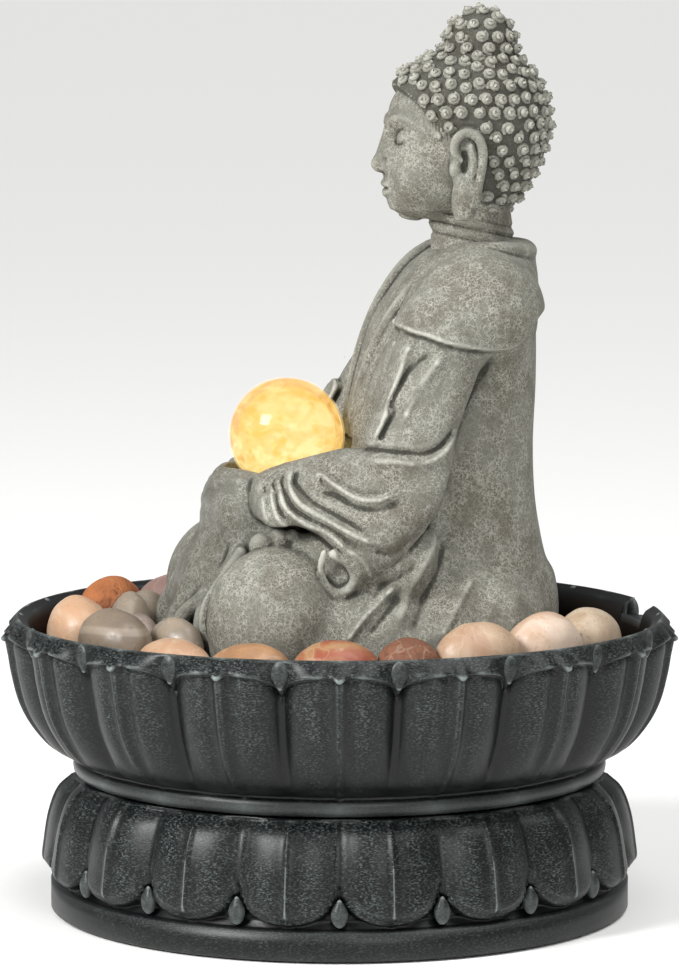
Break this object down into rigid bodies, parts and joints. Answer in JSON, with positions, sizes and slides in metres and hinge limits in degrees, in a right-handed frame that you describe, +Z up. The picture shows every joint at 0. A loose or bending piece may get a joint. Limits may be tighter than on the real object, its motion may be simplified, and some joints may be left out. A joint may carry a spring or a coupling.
{
  "type": "tabletop water fountain",
  "caption": "Tabletop water fountain with a seated robed figure on a lotus bowl of river pebbles, holding a glass ball that the water jet turns and lamps light.",
  "frame": {"origin": "centre of the base on the surface it stands on, on the bowl's axis", "axes": "+Z up; the figure faces -Y and the cord notch is in the bowl's back rim, near +Y; +X is the figure's left"},
  "size_m": [0.213, 0.215, 0.2887],
  "materials": {
    "dark_resin": "cast polyresin, near black, with silvery green dry brushing on raised edges",
    "grey_resin": "cast polyresin, cement grey, pale speckled dry brushing, darker in the folds",
    "lit_glass": "crackled glass ball lit warm yellow from below",
    "clear_acrylic": "clear moulded acrylic",
    "white_potting": "white potted lamp ring",
    "white_plastic": "moulded white ABS",
    "clear_pvc": "clear soft PVC tube",
    "black_plastic": "moulded black ABS",
    "grey_rubber": "matte moulded rubber",
    "ferrite": "plastic-bonded ferrite magnet",
    "steel": "ground stainless pin",
    "stone_beige": "tumbled river stone, beige to pink",
    "stone_taupe": "tumbled river stone, grey taupe",
    "stone_orange": "tumbled river stone, rust orange"
  },
  "bodies": {
    "basin": {"foot_pad_1": "grey_rubber", "foot_pad_2": "grey_rubber", "foot_pad_3": "grey_rubber", "foot_pad_4": "grey_rubber", "impeller_shaft": "steel", "lotus_base": "dark_resin", "lotus_bowl": "dark_resin", "pump_housing": "black_plastic", "suction_cup_1": "grey_rubber", "suction_cup_2": "grey_rubber", "suction_cup_3": "grey_rubber", "suction_cup_4": "grey_rubber", "pebble_21": "stone_beige", "pebble_22": "stone_taupe", "pebble_23": "stone_orange", "pebble_24": "stone_beige", "pebble_25": "stone_taupe", "pebble_26": "stone_orange", "pebble_27": "stone_beige", "pebble_28": "stone_taupe", "pebble_29": "stone_orange", "pebble_30": "stone_beige", "pebble_31": "stone_taupe", "pebble_32": "stone_orange", "pebble_33": "stone_beige", "pebble_34": "stone_taupe", "pebble_35": "stone_orange", "pebble_36": "stone_beige"},
    "pebbles": {"pebble_01": "stone_taupe", "pebble_02": "stone_orange", "pebble_03": "stone_beige", "pebble_04": "stone_taupe", "pebble_05": "stone_orange", "pebble_06": "stone_beige", "pebble_07": "stone_taupe", "pebble_08": "stone_orange", "pebble_09": "stone_beige", "pebble_10": "stone_taupe", "pebble_11": "stone_orange", "pebble_12": "stone_beige", "pebble_13": "stone_taupe", "pebble_14": "stone_orange", "pebble_15": "stone_beige", "pebble_16": "stone_taupe", "pebble_17": "stone_orange", "pebble_18": "stone_beige", "pebble_19": "stone_taupe", "pebble_20": "stone_orange"},
    "figure": {"seated_figure": "grey_resin", "ball_cup": "clear_acrylic", "led_ring": "white_potting", "led_lens": "clear_acrylic", "water_tube": "clear_pvc", "led_lead": "black_plastic", "led_plug": "black_plastic"},
    "ball": {"glass_ball": "lit_glass"},
    "impeller": {"impeller": "ferrite"},
    "pump_cover": {"pump_cover": "black_plastic"},
    "flow_gate": {"flow_gate": "white_plastic"}
  },
  "joints": [
    {"name": "figure_lift", "type": "slide", "parent": "basin", "child": "figure", "axis": [0, 0, 1], "range_m": [0, 0.12]},
    {"name": "ball_spin", "type": "hinge", "parent": "figure", "child": "ball", "pos_m": [0, -0.0171, 0.1523], "axis": [1, 0, 0], "continuous": true},
    {"name": "pebble_lift", "type": "slide", "parent": "basin", "child": "pebbles", "axis": [0, 0, 1], "range_m": [0, 0.06]},
    {"name": "impeller_spin", "type": "hinge", "parent": "basin", "child": "impeller", "pos_m": [0, 0, 0.0784], "axis": [0, 1, 0], "continuous": true},
    {"name": "cover_pull", "type": "slide", "parent": "basin", "child": "pump_cover", "axis": [0, -1, 0], "range_m": [0, 0.006]},
    {"name": "flow_gate_slide", "type": "slide", "parent": "pump_cover", "child": "flow_gate", "axis": [1, 0, 0], "range_m": [-0.006, 0.006]}
  ]
}
